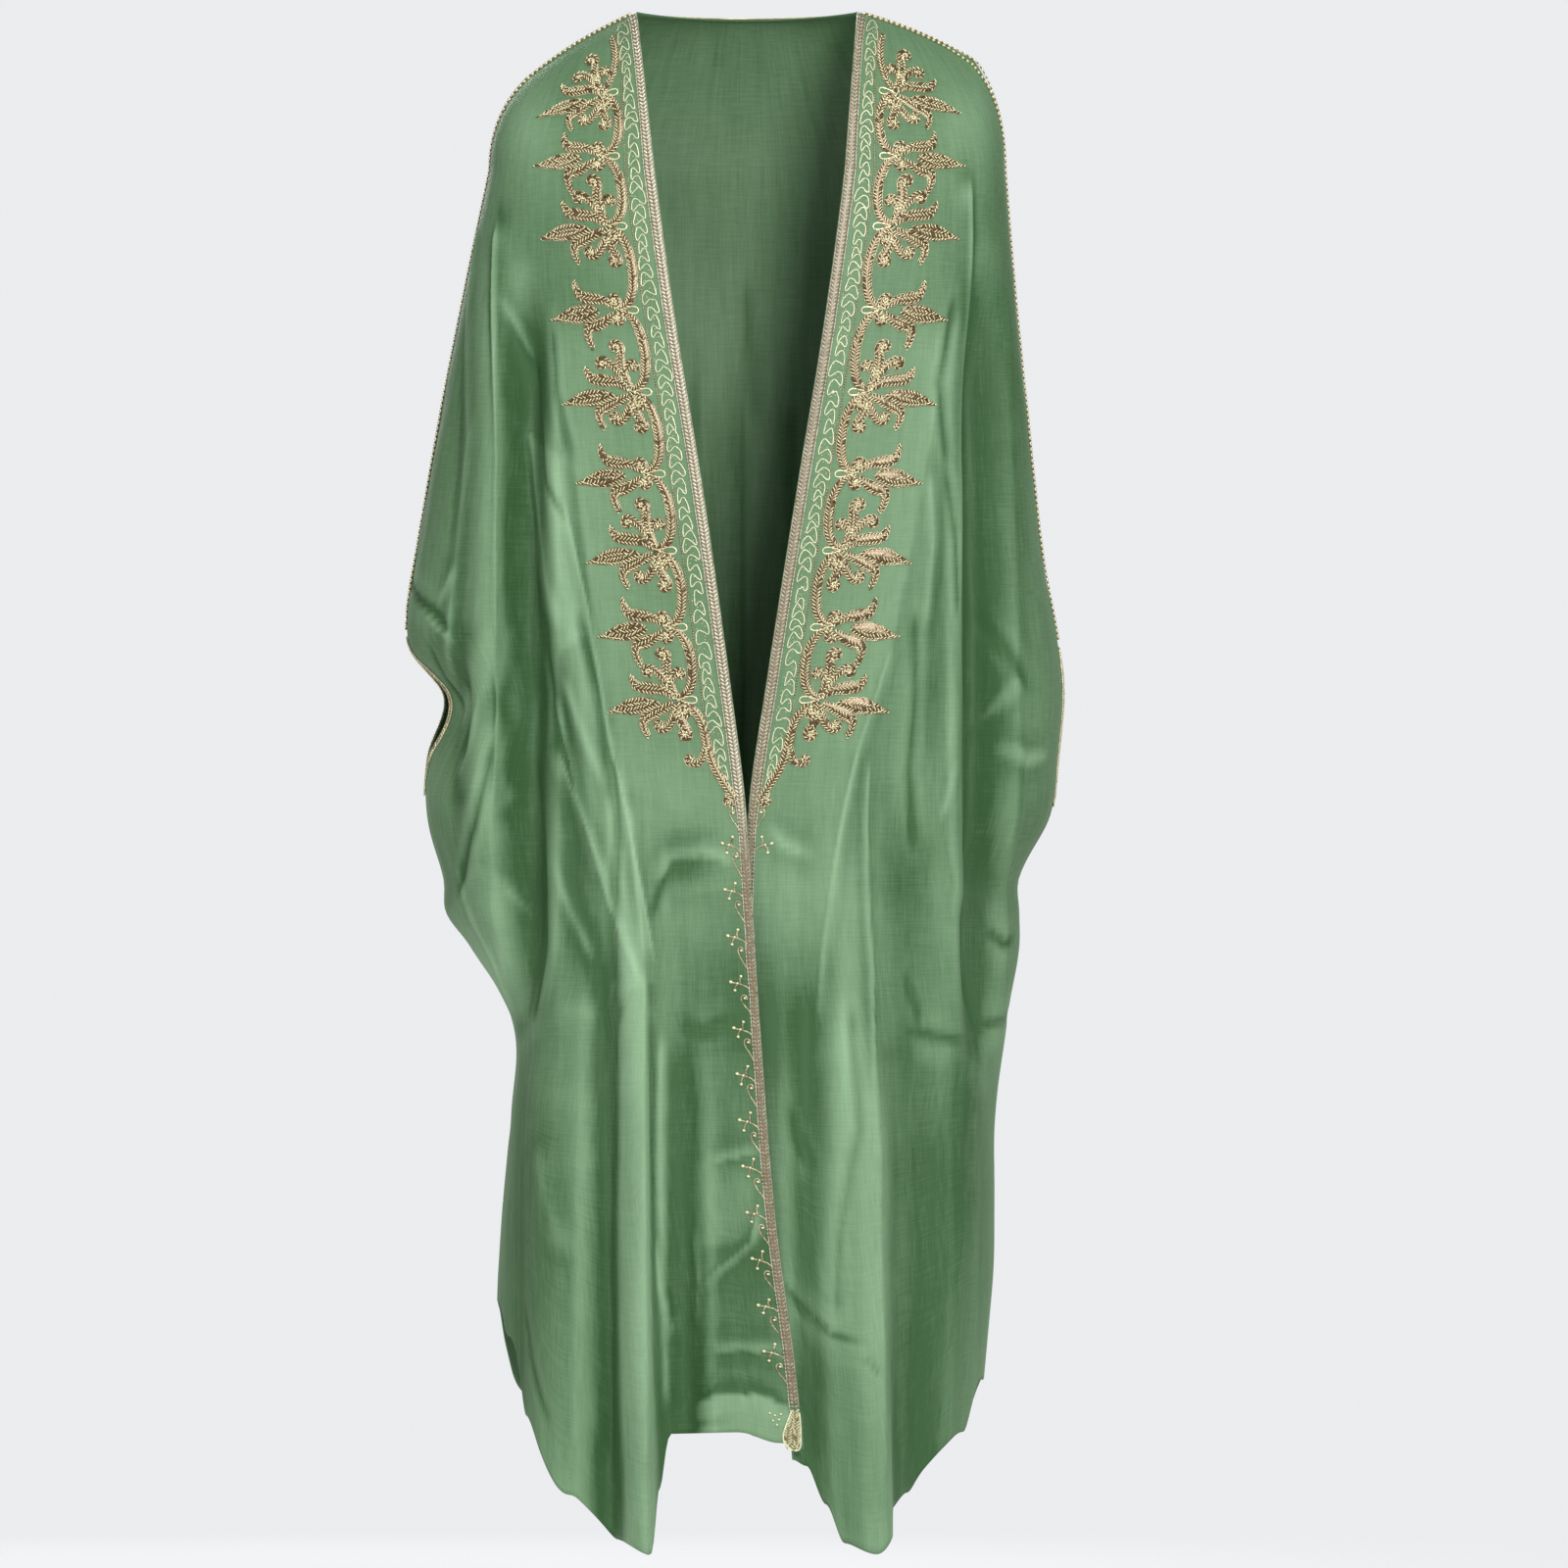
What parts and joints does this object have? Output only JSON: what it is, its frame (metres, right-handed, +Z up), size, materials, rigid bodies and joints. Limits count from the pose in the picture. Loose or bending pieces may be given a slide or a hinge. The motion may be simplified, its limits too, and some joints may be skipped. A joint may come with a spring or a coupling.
{
  "type": "bisht",
  "caption": "Open-fronted light green robe worn and hollow, its front edges, neck, shoulders and cuffs trimmed with gold thread scrolls and braid.",
  "frame": {"origin": "the shoulder rest: midway between the two points where the shoulder seams meet the neck, at their height", "axes": "+Z up along the wearer, +Y towards the wearer's back, +X towards the wearer's left"},
  "size_m": [0.6233, 0.3871, 1.4491],
  "materials": {
    "green_cloth": "fine plain weave with a soft satin sheen, slightly see-through in a single layer",
    "gold_thread": "metallic gold thread, couched and chain stitched"
  },
  "bodies": {
    "root": {"front_right": "green_cloth", "front_left": "green_cloth", "back": "green_cloth", "edge_braid_right": "gold_thread", "edge_braid_left": "gold_thread", "scroll_right": "gold_thread", "scroll_left": "gold_thread", "shoulder_cord_right": "gold_thread", "shoulder_cord_left": "gold_thread", "cuff_braid_right_front": "gold_thread", "cuff_braid_right_back": "gold_thread", "cuff_braid_left_front": "gold_thread", "cuff_braid_left_back": "gold_thread", "neck_braid": "gold_thread"}
  },
  "joints": []
}
